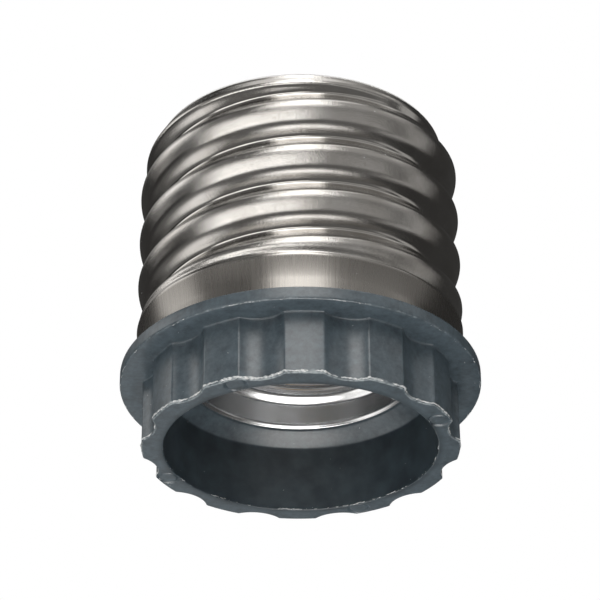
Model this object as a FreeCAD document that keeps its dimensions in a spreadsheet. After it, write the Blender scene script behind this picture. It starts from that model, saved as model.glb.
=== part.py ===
import FreeCAD
import Part
import math
import os

import Sketcher

# Lamp socket adapter: a large screw shell over a moulded body that holds a smaller lamp socket.
# The mouth faces down, its lip lies at height zero, and the contact end points up along +Z.

vector = FreeCAD.Vector
doc = FreeCAD.newDocument("SocketAdapter")

SIZES = {
    # Moulded body: mouth, fluted grip and flange, each set out from the one inside it
    "ledge_width": 2.12,
    "mouth_depth": 8.4,
    "grip_wall": 2.53,
    "grip_height": 7.87,
    "flute_count": 12,
    "flute_depth": 1.05,
    "flute_cutter": 4.3,
    "flute_turn": 16.5,
    "flange_overhang": 2.78,
    "flange_thickness": 1.6,
    "flange_round": 0.25,
    "pin_mark_radius": 1.2,
    "pin_mark_depth": 0.06,
    "pin_mark_turn": -118.8,
    "pin_mark_count": 4,
    # Moulded body: funnel, socket bore and contact nose
    "funnel_rise": 1.5,
    "bore_gap": 0.25,
    "sleeve_gap": 0.25,
    "sleeve_wall": 3.2498355,
    "shoulder_wall": 4.95,
    "nose_gap": 0.3,
    "nose_taper": 4.4,
    "nose_height": 5.6,
    # Large screw shell, its crests 19.6 from the axis, outside the moulded sleeve
    "big_pitch": 6.35,
    "big_depth": 1.8001645,
    "big_sheet": 0.35,
    "big_skirt_step": 0.3,
    "big_end_step": 1.7,
    "big_plain": 5.1,
    "big_run_in": 2.8,
    "big_fade": 2.3,
    "big_lid": 3.7,
    "big_phase": 24.5175,
    "big_columns": 48,
    "big_rows": 8,
    # Small inner shell
    "small_setback": 1.7,
    "small_length": 25.9,
    "small_crest": 13.5,
    "small_pitch": 3.62,
    "small_depth": 1.0875026,
    "small_sheet": 0.3,
    "small_skirt_step": -0.05,
    "small_end_step": 0.9,
    "small_plain": 2.4,
    "small_run_in": 1.5,
    "small_fade": 1.8,
    "small_opening": 5.8,
    "small_phase": 12.6,
    "small_columns": 36,
    "small_rows": 6,
    # Centre contact tongue
    "tongue_width": 5.0,
    "tongue_sheet": 0.5,
    "tongue_foot": 6.4,
    "tongue_bend": 0.9,
    "tongue_reach": 6.2,
    "tongue_drop": 2.6,
    "tongue_tip": 1.0,
    # Centre rivet and end contact
    "rivet_radius": 1.5,
    "rivet_fit": 0.05,
    "rivet_head": 2.5,
    "rivet_flat": 1.75,
    "rivet_head_height": 0.8,
    "contact_inset": 1.9,
    "contact_slope": 2.4,
    "contact_rim": 1.0,
    "contact_dome": 2.4,
    # Link strip between the two shells
    "strip_width": 4.0,
    "strip_sheet": 0.3,
    "strip_lap": 2.8,
    "strip_wall": 0.6,
    "strip_foot": 2.15,
    "strip_gap": 0.1,
    # Two screws that hold the small shell
    "screw_inset": 3.0,
    "screw_radius": 1.2,
    "screw_fit": 0.05,
    "screw_head": 2.1,
    "screw_flat": 1.6,
    "screw_head_height": 1.2,
    "screw_length": 4.6,
    "screw_slot": 0.5,
    "screw_slot_depth": 0.6,
}

# Lengths closer than this are taken as the same
SAME = 1e-6

sheet = doc.addObject("Spreadsheet::Sheet", "Sizes")
for row, (alias, value) in enumerate(SIZES.items(), start=1):
    sheet.set("A%d" % row, alias)
    sheet.set("B%d" % row, str(value))
    sheet.setAlias("B%d" % row, alias)
doc.recompute()


# Heights that several pieces share, each written once as a formula of the sheet's cells
FLANGE_TOP = "(Sizes.grip_height + Sizes.flange_thickness)"
FUNNEL_TOP = "(Sizes.mouth_depth + Sizes.funnel_rise)"
SMALL_RIM = "(Sizes.mouth_depth + Sizes.small_setback)"
FLOOR = "(%s + Sizes.small_length)" % SMALL_RIM
SHOULDER = "(%s + Sizes.shoulder_wall)" % FLOOR
BIG_TOP = "(%s + Sizes.big_sheet)" % SHOULDER
NOSE_TOP = "(%s + Sizes.nose_height)" % SHOULDER

# Radii that several pieces share, from the small shell out to the flange and the large shell
SMALL_SKIRT = "(Sizes.small_crest - Sizes.small_skirt_step)"
SMALL_END = "(Sizes.small_crest - Sizes.small_end_step)"
BORE = "(%s + Sizes.small_sheet / 2 + Sizes.bore_gap)" % SMALL_SKIRT
MOUTH = "(%s + Sizes.ledge_width)" % BORE
GRIP = "(%s + Sizes.grip_wall)" % MOUTH
FLANGE = "(%s + Sizes.flange_overhang)" % GRIP
SLEEVE = "(%s + Sizes.sleeve_wall)" % BORE
BIG_CREST = "(%s + Sizes.sleeve_gap + Sizes.big_sheet + Sizes.big_depth)" % SLEEVE
BIG_SKIRT = "(%s - Sizes.big_skirt_step)" % BIG_CREST
BIG_END = "(%s - Sizes.big_end_step)" % BIG_CREST
BIG_OPENING = "(%s - Sizes.big_lid)" % BIG_END
NOSE = "(%s - Sizes.nose_gap)" % BIG_OPENING
CONTACT = "(%s - Sizes.nose_taper - Sizes.contact_inset)" % NOSE
SCREW_PLACE = "(%s - Sizes.screw_inset)" % SMALL_END
STRIP_INNER = "(%s - Sizes.strip_lap)" % SCREW_PLACE
STRIP_RISER = "(%s + Sizes.strip_wall)" % BORE
STRIP_OUTER = "(%s + Sizes.strip_foot)" % STRIP_RISER
RIVET_HOLE = "(Sizes.rivet_radius + Sizes.rivet_fit)"
SCREW_HOLE = "(Sizes.screw_radius + Sizes.screw_fit)"
FOOT_UNDER = "(%s - Sizes.tongue_sheet)" % FLOOR
SMALL_FLOOR_UNDER = "(%s - Sizes.small_sheet)" % FLOOR


def new_body(label):
    """An empty body with its own label."""
    body = doc.addObject("PartDesign::Body", label)
    body.Label = label
    return body


def new_sketch(body, name, plane, lift=None):
    """A sketch on one of the body's own origin planes, raised by a formula if one is given."""
    sketch = body.newObject("Sketcher::SketchObject", name)
    planes = [f for f in body.Origin.OriginFeatures if f.Role == plane]
    sketch.AttachmentSupport = [(planes[0], "")]
    sketch.MapMode = "FlatFace"
    if lift:
        sketch.setExpression("AttachmentOffset.Base.z", lift)
    return sketch


def draw_outline(sketch, points):
    """A closed outline of straight lines through points that are given as pairs of formulas."""
    count = len(points)
    turns = [2 * math.pi * i / count for i in range(count)]
    start = [vector(math.cos(turn), math.sin(turn), 0) for turn in turns]
    first = sketch.GeometryCount
    for i in range(count):
        sketch.addGeometry(Part.LineSegment(start[i], start[(i + 1) % count]), False)
    for i in range(count):
        sketch.addConstraint(Sketcher.Constraint("Coincident", first + i, 2, first + (i + 1) % count, 1))
    for i, pair in enumerate(points):
        for kind, formula, value in zip(("DistanceX", "DistanceY"), pair, start[i]):
            index = sketch.addConstraint(Sketcher.Constraint(kind, -1, 1, first + i, 1, value))
            sketch.setExpression("Constraints[%d]" % index, formula)


def draw_circle(sketch, x, y, radius):
    """A full circle whose centre and radius are formulas."""
    index = sketch.addGeometry(Part.Circle(vector(1, 1, 0), vector(0, 0, 1), 1), False)
    for kind, formula in (("DistanceX", x), ("DistanceY", y)):
        place = sketch.addConstraint(Sketcher.Constraint(kind, -1, 1, index, 3, 1.0))
        sketch.setExpression("Constraints[%d]" % place, formula)
    wide = sketch.addConstraint(Sketcher.Constraint("Radius", index, 1.0))
    sketch.setExpression("Constraints[%d]" % wide, radius)


def revolve(body, name, points):
    """A full turn of a radius and height outline about the upright axis."""
    sketch = new_sketch(body, name + "Outline", "XZ_Plane")
    draw_outline(sketch, points)
    turned = body.newObject("PartDesign::Revolution", name)
    turned.Profile = sketch
    turned.ReferenceAxis = (sketch, ["V_Axis"])
    turned.Angle = 360
    body.Tip = turned
    doc.recompute()
    return turned


def pocket(body, name, sketch, length, reverse):
    """A cut from a sketch, along its normal or against it."""
    cut = body.newObject("PartDesign::Pocket", name)
    cut.Profile = sketch
    cut.setExpression("Length", length)
    cut.Reversed = reverse
    body.Tip = cut
    doc.recompute()
    return cut


def pad_across(body, name, points, width):
    """A side outline in the XZ plane, padded evenly to both sides."""
    sketch = new_sketch(body, name + "Outline", "XZ_Plane")
    draw_outline(sketch, points)
    pad = body.newObject("PartDesign::Pad", name)
    pad.Profile = sketch
    pad.setExpression("Length", width)
    pad.Midplane = True
    body.Tip = pad
    doc.recompute()
    return pad


def rectangle(x_low, x_high, y_low, y_high):
    """The four corners of a rectangle as pairs of formulas."""
    return [(x_low, y_low), (x_high, y_low), (x_high, y_high), (x_low, y_high)]


# Moulded body: one moulding from the mouth lip to the contact nose
moulding = new_body("insulating_body")
revolve(moulding, "Moulding", [
    (MOUTH, "0"),
    (GRIP, "0"),
    (GRIP, "Sizes.grip_height"),
    (SLEEVE, "Sizes.grip_height"),
    (SLEEVE, SHOULDER),
    (NOSE, SHOULDER),
    (NOSE + " - Sizes.nose_taper", NOSE_TOP),
    (RIVET_HOLE, NOSE_TOP),
    (RIVET_HOLE, FLOOR),
    (BORE, FLOOR),
    (BORE, FUNNEL_TOP),
    (MOUTH, "Sizes.mouth_depth"),
])

# Twelve concave flutes leave flat-topped lands for the fingers
flute_sketch = new_sketch(moulding, "FluteOutline", "XY_Plane")
flute_reach = "(%s - Sizes.flute_depth + Sizes.flute_cutter)" % GRIP
draw_circle(
    flute_sketch,
    flute_reach + " * sin(Sizes.flute_turn * 1deg)",
    "-" + flute_reach + " * cos(Sizes.flute_turn * 1deg)",
    "Sizes.flute_cutter",
)
flute = pocket(moulding, "Flute", flute_sketch, "Sizes.grip_height", True)
flutes = moulding.newObject("PartDesign::PolarPattern", "Flutes")
flutes.Originals = [flute]
flutes.Axis = (flute_sketch, ["N_Axis"])
flutes.Angle = 360
flutes.setExpression("Occurrences", "Sizes.flute_count")
moulding.Tip = flutes
doc.recompute()

# The round flange stands above the flutes and carries the big shell's lower edge
flange_root = "(%s - Sizes.flange_thickness / 2)" % SLEEVE
revolve(moulding, "Flange", [
    (flange_root, "Sizes.grip_height"),
    (FLANGE, "Sizes.grip_height"),
    (FLANGE, FLANGE_TOP),
    (flange_root, FLANGE_TOP),
])

# Four faint round marks on the lip, where the pins pushed the moulding out of its tool
mark_sketch = new_sketch(moulding, "PinMarkOutline", "XY_Plane")
lip_middle = "((%s + %s) / 2)" % (MOUTH, GRIP)
draw_circle(
    mark_sketch,
    lip_middle + " * sin(Sizes.pin_mark_turn * 1deg)",
    "-" + lip_middle + " * cos(Sizes.pin_mark_turn * 1deg)",
    "Sizes.pin_mark_radius",
)
mark = pocket(moulding, "PinMark", mark_sketch, "Sizes.pin_mark_depth", True)
marks = moulding.newObject("PartDesign::PolarPattern", "PinMarks")
marks.Originals = [mark]
marks.Axis = (mark_sketch, ["N_Axis"])
marks.Angle = 360
marks.setExpression("Occurrences", "Sizes.pin_mark_count")
moulding.Tip = marks
doc.recompute()

# Channel that leads the link strip from the socket floor up to the shoulder
channel_half = "(Sizes.strip_width / 2 + Sizes.strip_gap)"
channel_sketch = new_sketch(moulding, "ChannelOutline", "XY_Plane", FLOOR)
draw_outline(channel_sketch, rectangle(
    STRIP_RISER + " - Sizes.strip_gap",
    STRIP_RISER + " + Sizes.strip_sheet + Sizes.strip_gap",
    "-" + channel_half,
    channel_half,
))
pocket(moulding, "Channel", channel_sketch, "%s - %s" % (SHOULDER, FLOOR), True)
foot_sketch = new_sketch(moulding, "FootRecessOutline", "XY_Plane", FLOOR)
draw_outline(foot_sketch, rectangle(
    STRIP_INNER + " - Sizes.strip_gap",
    STRIP_RISER + " + Sizes.strip_sheet + Sizes.strip_gap",
    "-" + channel_half,
    channel_half,
))
pocket(moulding, "FootRecess", foot_sketch, "Sizes.strip_sheet + Sizes.strip_gap", True)
top_sketch = new_sketch(moulding, "TopRecessOutline", "XY_Plane", SHOULDER)
draw_outline(top_sketch, rectangle(
    STRIP_RISER + " - Sizes.strip_gap",
    STRIP_OUTER + " + Sizes.strip_gap",
    "-" + channel_half,
    channel_half,
))
pocket(moulding, "TopRecess", top_sketch, "Sizes.strip_sheet", False)

# Two pilot holes for the screws of the small shell
pilot_sketch = new_sketch(moulding, "PilotOutline", "XY_Plane", FLOOR)
for side in ("", "-"):
    draw_circle(pilot_sketch, side + SCREW_PLACE, "0", SCREW_HOLE)
pocket(moulding, "Pilots", pilot_sketch, "Sizes.screw_length + Sizes.strip_gap", True)



def value(formula):
    """The present value of a formula of the sheet's cells."""
    return float(sheet.evalExpression(formula.replace("Sizes.", "")))


# The flange's outer edges are slightly rounded
finished = moulding.Tip
flange_edges = [
    "Edge%d" % number
    for number, edge in enumerate(finished.Shape.Edges, start=1)
    if isinstance(edge.Curve, Part.Circle) and abs(edge.Curve.Radius - value(FLANGE)) < SAME
]
rounded = moulding.newObject("PartDesign::Fillet", "FlangeRound")
rounded.Base = (finished, flange_edges)
rounded.setExpression("Radius", "min(Sizes.flange_round; 0.45 * Sizes.flange_thickness)")
moulding.Tip = rounded
doc.recompute()


# Rolled screw shells. Sheet metal rolled into a helical wave has no sketch feature of its own,
# so its two sides are laid out as a formula of height and turn and closed with flat facets.


def ease(share):
    """A smooth step from 0 to 1."""
    share = min(max(share, 0.0), 1.0)
    return share * share * (3 - 2 * share)


def wave_radius(phase, crest, depth, pitch, offset):
    """Radius of the knuckle thread: tangent arcs, moved out by offset, with a crest at phase 0."""
    along = abs(phase - round(phase)) * pitch
    half = pitch / 2
    arc = (depth**2 + half**2) / (4 * depth)
    if along <= half * (arc + offset) / (2 * arc):
        return crest - arc + math.sqrt((arc + offset) ** 2 - along**2)
    return crest - depth + arc - math.sqrt((arc - offset) ** 2 - (half - along) ** 2)


class RolledShell:
    """One rolled sheet: plain skirt below, right-hand thread, and an edge turned in at the top."""

    def __init__(self, family, heights, crest, opening, offsets):
        def own(name):
            return value("Sizes.%s_%s" % (family, name))

        self.low, self.top = [value(height) for height in heights]
        self.crest = value(crest)
        self.opening = value(opening)
        self.offsets = offsets
        self.pitch = own("pitch")
        self.depth = own("depth")
        self.skirt = self.crest - own("skirt_step")
        self.end = self.crest - own("end_step")
        self.run_in = own("run_in")
        self.fade = own("fade")
        self.phase = own("phase")
        self.sheet = own("sheet")
        self.thread_low = self.low + own("plain")
        self.wall_top = self.top - self.sheet
        self.columns = int(own("columns"))
        self.rows = int(round((self.wall_top - self.low) / self.pitch * own("rows")))

    def radius(self, height, turn, offset):
        """Wall radius at a height and a share of a turn, with the thread eased in and out."""
        rise = ease((height - self.thread_low) / self.run_in)
        fall = ease((self.wall_top - height) / self.fade)
        phase = (height - self.phase) / self.pitch - turn
        wave = wave_radius(phase, self.crest, self.depth, self.pitch, offset)
        lower = self.skirt + offset + rise * (wave - self.skirt - offset)
        return self.end + offset + fall * (lower - self.end - offset)

    def section(self, turn):
        """The closed outline of the sheet at one turn: up the outside, over the edge, down inside."""
        outer, inner = self.offsets
        heights = [self.low + (self.wall_top - self.low) * j / self.rows for j in range(self.rows + 1)]
        up = [(self.radius(z, turn, outer), z) for z in heights]
        down = [(self.radius(z, turn, inner), z) for z in reversed(heights)]
        lid = [
            (self.end + outer - self.sheet, self.top),
            (self.opening, self.top),
            (self.opening, self.wall_top),
        ]
        return up + lid + down

    def solid(self):
        """The closed sheet, its facets sharing their corners."""
        points = []
        for column in range(self.columns):
            turn = column / self.columns
            angle = 2 * math.pi * turn
            points += [vector(r * math.cos(angle), r * math.sin(angle), z) for r, z in self.section(turn)]
        count = len(points) // self.columns
        facets = []
        for column in range(self.columns):
            here = column * count
            there = (column + 1) % self.columns * count
            for step in range(count):
                following = (step + 1) % count
                facets.append((here + step, there + step, there + following))
                facets.append((here + step, there + following, here + following))
        skin = Part.Shape()
        skin.makeShapeFromMesh((points, facets), SAME)
        made = Part.makeSolid(skin.Shells[0])
        if made.Volume < 0:
            made.reverse()
        return made


def add_shell(label, rolled):
    """A sheet metal shell as a feature of the document."""
    feature = doc.addObject("Part::Feature", label)
    feature.Label = label
    feature.Shape = rolled.solid()
    feature.Placement = FreeCAD.Placement()
    return feature


# Each shell's facets per turn and rows per pitch keep the wave's arcs smooth to about 0.05 mm
big_sides = (0.0, -value("Sizes.big_sheet"))
big_shell = add_shell(
    "e40_screw_shell", RolledShell("big", (FLANGE_TOP, BIG_TOP), BIG_CREST, BIG_OPENING, big_sides)
)
half_sheet = value("Sizes.small_sheet") / 2
small_sides = (half_sheet, -half_sheet)
small_shell = add_shell(
    "e27_inner_shell",
    RolledShell("small", (SMALL_RIM, FLOOR), "Sizes.small_crest", "Sizes.small_opening", small_sides),
)

# The small shell's floor is pierced for its two screws
floor_sheet = value("Sizes.small_sheet")
for side in (-1, 1):
    foot = vector(side * value(SCREW_PLACE), 0, value(FLOOR) - 2 * floor_sheet)
    drill = Part.makeCylinder(value(SCREW_HOLE), 3 * floor_sheet, foot)
    small_shell.Shape = small_shell.Shape.cut(drill)

# Centre contact tongue: riveted foot, tight return bend and a springy leaf with a raised tip
tongue = new_body("centre_contact_tongue")
foot_half = "(Sizes.tongue_foot / 2)"
bend_under = "(%s - Sizes.tongue_bend)" % FOOT_UNDER
leaf_low = "(%s - Sizes.tongue_drop)" % bend_under
leaf_end = "(Sizes.tongue_reach - %s)" % foot_half
pad_across(tongue, "Leaf", [
    (foot_half, FLOOR),
    ("-" + foot_half, FLOOR),
    ("-%s - Sizes.tongue_sheet" % foot_half, FOOT_UNDER),
    ("-%s - Sizes.tongue_sheet" % foot_half, bend_under),
    ("-%s" % foot_half, "%s - Sizes.tongue_sheet" % bend_under),
    (leaf_end, "%s - Sizes.tongue_sheet" % leaf_low),
    ("%s + Sizes.tongue_tip" % leaf_end, "%s - Sizes.tongue_sheet / 2" % leaf_low),
    ("%s + Sizes.tongue_tip" % leaf_end, "%s + Sizes.tongue_sheet / 2" % leaf_low),
    (leaf_end, leaf_low),
    ("-%s" % foot_half, bend_under),
    ("-%s" % foot_half, FOOT_UNDER),
    (foot_half, FOOT_UNDER),
], "Sizes.tongue_width")
tongue_hole = new_sketch(tongue, "RivetHoleOutline", "XY_Plane", FLOOR)
draw_circle(tongue_hole, "0", "0", RIVET_HOLE)
pocket(tongue, "RivetHole", tongue_hole, "Sizes.tongue_sheet", False)

# Centre rivet: it clamps the tongue below and the end contact above
rivet = new_body("centre_rivet")
head_low = "(%s - Sizes.rivet_head_height)" % FOOT_UNDER
contact_top = "(%s + Sizes.contact_dome)" % NOSE_TOP
recess = "(%s - Sizes.rivet_head_height)" % contact_top
revolve(rivet, "Rivet", [
    ("0", head_low),
    ("Sizes.rivet_flat", head_low),
    ("Sizes.rivet_head", "%s + Sizes.rivet_head_height / 2" % head_low),
    ("Sizes.rivet_head", FOOT_UNDER),
    ("Sizes.rivet_radius", FOOT_UNDER),
    ("Sizes.rivet_radius", recess),
    ("Sizes.rivet_head", recess),
    ("Sizes.rivet_head", "%s + Sizes.rivet_head_height / 2" % recess),
    ("Sizes.rivet_flat", contact_top),
    ("0", contact_top),
])

# End contact: a domed disc on the nose, recessed for the rivet's clinched head
contact = new_body("end_contact")
revolve(contact, "Disc", [
    (RIVET_HOLE, NOSE_TOP),
    (CONTACT, NOSE_TOP),
    (CONTACT, "%s + Sizes.contact_rim" % NOSE_TOP),
    (CONTACT + " - Sizes.contact_slope", contact_top),
    ("Sizes.rivet_head + Sizes.strip_gap", contact_top),
    ("Sizes.rivet_head + Sizes.strip_gap", recess),
    (RIVET_HOLE, recess),
])

# Link strip: from the small shell's floor, up the channel, and out under the big shell's edge
strip = new_body("link_strip")
riser_far = "(%s + Sizes.strip_sheet)" % STRIP_RISER
pad_across(strip, "Strip", [
    (STRIP_INNER, FLOOR),
    (riser_far, FLOOR),
    (riser_far, "%s - Sizes.strip_sheet" % SHOULDER),
    (STRIP_OUTER, "%s - Sizes.strip_sheet" % SHOULDER),
    (STRIP_OUTER, SHOULDER),
    (STRIP_RISER, SHOULDER),
    (STRIP_RISER, "%s + Sizes.strip_sheet" % FLOOR),
    (STRIP_INNER, "%s + Sizes.strip_sheet" % FLOOR),
], "Sizes.strip_width")
strip_hole = new_sketch(strip, "ScrewHoleOutline", "XY_Plane", FLOOR)
draw_circle(strip_hole, SCREW_PLACE, "0", SCREW_HOLE)
pocket(strip, "ScrewHole", strip_hole, "Sizes.strip_sheet", True)


def make_screw(label, side):
    """A slotted screw up through the small shell's floor into the moulding."""
    screw = new_body(label)
    top = "(%s + Sizes.screw_length)" % SMALL_FLOOR_UNDER
    low = "(%s - Sizes.screw_head_height)" % SMALL_FLOOR_UNDER
    revolve(screw, label + "Turned", [
        ("0", low),
        ("Sizes.screw_flat", low),
        ("Sizes.screw_head", "%s + Sizes.screw_head_height / 2" % low),
        ("Sizes.screw_head", SMALL_FLOOR_UNDER),
        ("Sizes.screw_radius", SMALL_FLOOR_UNDER),
        ("Sizes.screw_radius", "%s - Sizes.screw_radius" % top),
        ("0", top),
    ])
    slot = new_sketch(screw, label + "SlotOutline", "XY_Plane", low)
    draw_outline(slot, rectangle(
        "-Sizes.screw_head - 1", "Sizes.screw_head + 1", "-Sizes.screw_slot / 2", "Sizes.screw_slot / 2"
    ))
    pocket(screw, label + "Slot", slot, "Sizes.screw_slot_depth", True)
    screw.setExpression("Placement.Base.x", side + SCREW_PLACE)
    return screw


screws = [make_screw("shell_screw_right", ""), make_screw("shell_screw_left", "-")]

doc.recompute()
parts = [moulding, big_shell, small_shell, tongue, rivet, contact, strip] + screws
for item in doc.Objects:
    if {"Invalid", "Error"} & set(item.State):
        raise RuntimeError("%s failed: %s" % (item.Label, item.State))
for part in parts:
    if part.Shape.isNull() or not part.Shape.isValid() or len(part.Shape.Solids) != 1:
        raise RuntimeError("%s has no sound solid" % part.Label)
os.makedirs("parts", exist_ok=True)
for part in parts:
    solid = part.Shape.Solids[0]
    solid.exportStep("parts/%s.step" % part.Label)
    print(part.Label, round(solid.Volume, 1), len(solid.Faces))
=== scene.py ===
import logging
import math
from collections.abc import Callable, Sequence
from dataclasses import dataclass
from enum import Enum
from functools import partial
from typing import ClassVar

import bmesh
import bpy
from mathutils import Matrix, Vector, noise


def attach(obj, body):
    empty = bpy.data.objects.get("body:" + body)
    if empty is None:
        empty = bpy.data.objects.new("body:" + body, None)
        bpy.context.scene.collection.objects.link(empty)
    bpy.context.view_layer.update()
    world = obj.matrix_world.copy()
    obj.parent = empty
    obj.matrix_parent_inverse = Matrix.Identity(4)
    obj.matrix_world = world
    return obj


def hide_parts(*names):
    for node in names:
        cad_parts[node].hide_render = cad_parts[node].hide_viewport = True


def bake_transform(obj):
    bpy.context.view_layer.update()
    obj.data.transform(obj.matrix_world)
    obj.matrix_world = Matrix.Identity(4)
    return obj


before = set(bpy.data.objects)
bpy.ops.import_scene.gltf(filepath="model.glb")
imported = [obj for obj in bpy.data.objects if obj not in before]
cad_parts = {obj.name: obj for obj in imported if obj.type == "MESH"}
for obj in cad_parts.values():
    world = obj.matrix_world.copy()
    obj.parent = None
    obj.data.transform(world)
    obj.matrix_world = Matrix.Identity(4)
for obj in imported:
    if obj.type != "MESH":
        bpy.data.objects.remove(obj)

LOG = logging.getLogger("adapter")
MM = 0.001
TAU = 2 * math.pi
ORDERS = range(1, 5)
SWINGS = {"Even": "COSINE", "Odd": "SINE"}
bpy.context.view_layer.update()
HOLDER = "holder"

Outline = list[tuple[float, float]]
Corner = tuple[float, float, float, int]
Values = dict[str | int, object]


def linear(code: str) -> tuple[float, float, float, float]:
    """Turns an sRGB hex colour to the linear colour that shaders use.

    Args:
        code: Six hex digits with a leading hash.

    Returns:
        Linear red, green, blue and an alpha of one.
    """
    parts = [int(code[i : i + 2], 16) / 255 for i in (1, 3, 5)]
    red, green, blue = (p / 12.92 if p <= 0.04045 else ((p + 0.055) / 1.055) ** 2.4 for p in parts)
    return red, green, blue, 1.0


def add_node(
    tree: bpy.types.NodeTree,
    kind: str,
    inputs: Values | None = None,
    stops: Sequence[tuple[float, object]] = (),
    **settings: object,
) -> bpy.types.Node:
    """Adds one node with its settings, its constants and its links.

    Args:
        tree: The node tree that gets the node.
        kind: Blender's identifier of the node type.
        inputs: A constant, a node or an output socket for each named input.
        stops: Places and colours, or greys, of a ramp's stops.
        **settings: Properties of the node itself.

    Returns:
        The new node.
    """
    node = tree.nodes.new(kind)
    for name, value in settings.items():
        setattr(node, name, value)
    for key, value in (inputs or {}).items():
        source = value.outputs[0] if isinstance(value, bpy.types.Node) else value
        if isinstance(source, bpy.types.NodeSocket):
            tree.links.new(source, node.inputs[key])
        else:
            node.inputs[key].default_value = source
    for index, (place, tone) in enumerate(stops):
        elements = node.color_ramp.elements
        stop = elements[index] if index < 2 else elements.new(place)
        stop.position = place
        stop.color = linear(tone) if isinstance(tone, str) else (tone, tone, tone, 1.0)
    return node


def at(azimuth: float, radius: float, height: float) -> Vector:
    """Gives a point in metres from degrees counted from the near side, and millimetres."""
    angle = math.radians(azimuth)
    return Vector((radius * math.sin(angle), -radius * math.cos(angle), height)) * MM


def nearness(azimuth: float) -> float:
    """Gives 1 for an azimuth on the near side, 0 on the far side and a smooth change between."""
    return 0.5 + 0.5 * math.cos(math.radians(azimuth))


def new_material(name: str) -> tuple[bpy.types.Material, bpy.types.NodeTree]:
    """Makes a material without nodes, and gives it with its empty tree."""
    material = bpy.data.materials.new(name)
    material.use_nodes = True
    material.node_tree.nodes.clear()
    return material, material.node_tree


class GeometryTree:
    """A geometry node tree with named inputs, baked to a plain mesh."""

    def __init__(self, name: str, inputs: dict[str, str]) -> None:
        """Makes the tree and its inputs.

        Args:
            name: Name of the tree.
            inputs: Socket type, without its NodeSocket prefix, for each input's name.
        """
        self.tree = bpy.data.node_groups.new(name, "GeometryNodeTree")
        self.identifiers: dict[str, str] = {}
        for label, kind in {"Source": "Geometry", **inputs, "Finish": "Material"}.items():
            socket = self.tree.interface.new_socket(label, in_out="INPUT", socket_type="NodeSocket" + kind)
            self.identifiers[label] = socket.identifier
        self.tree.interface.new_socket("Made", in_out="OUTPUT", socket_type="NodeSocketGeometry")
        self.entry = self.tree.nodes.new("NodeGroupInput")

    def named(self, label: str) -> bpy.types.NodeSocket:
        """Gives the output socket that carries one named input."""
        return self.entry.outputs[label]

    def close(self, geometry: bpy.types.Node) -> None:
        """Ends the tree with smooth shading, real instances and the finish.

        Args:
            geometry: The node whose first output is the finished geometry.
        """
        real = add_node(self.tree, "GeometryNodeRealizeInstances", {0: geometry})
        smooth = add_node(self.tree, "GeometryNodeSetShadeSmooth", {0: real})
        finish = add_node(
            self.tree, "GeometryNodeSetMaterial", {"Geometry": smooth, "Material": self.named("Finish")}
        )
        add_node(self.tree, "NodeGroupOutput", {0: finish})

    def bake(self, name: str, source: bpy.types.Mesh, values: dict[str, object]) -> bpy.types.Mesh:
        """Runs the tree on a mesh and keeps the result as a plain mesh.

        Args:
            name: Name of the result.
            source: Mesh that goes into the tree.
            values: A value for each named input.

        Returns:
            The baked mesh.
        """
        carrier = bpy.data.objects.new(name + "_carrier", source)
        bpy.context.scene.collection.objects.link(carrier)
        modifier = carrier.modifiers.new("Rule", "NODES")
        modifier.node_group = self.tree
        for label, value in values.items():
            modifier[self.identifiers[label]] = value
        graph = bpy.context.evaluated_depsgraph_get()
        made = bpy.data.meshes.new_from_object(carrier.evaluated_get(graph))
        carrier.modifiers.remove(modifier)
        bpy.data.objects.remove(carrier)
        made.name = name
        return made


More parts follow.
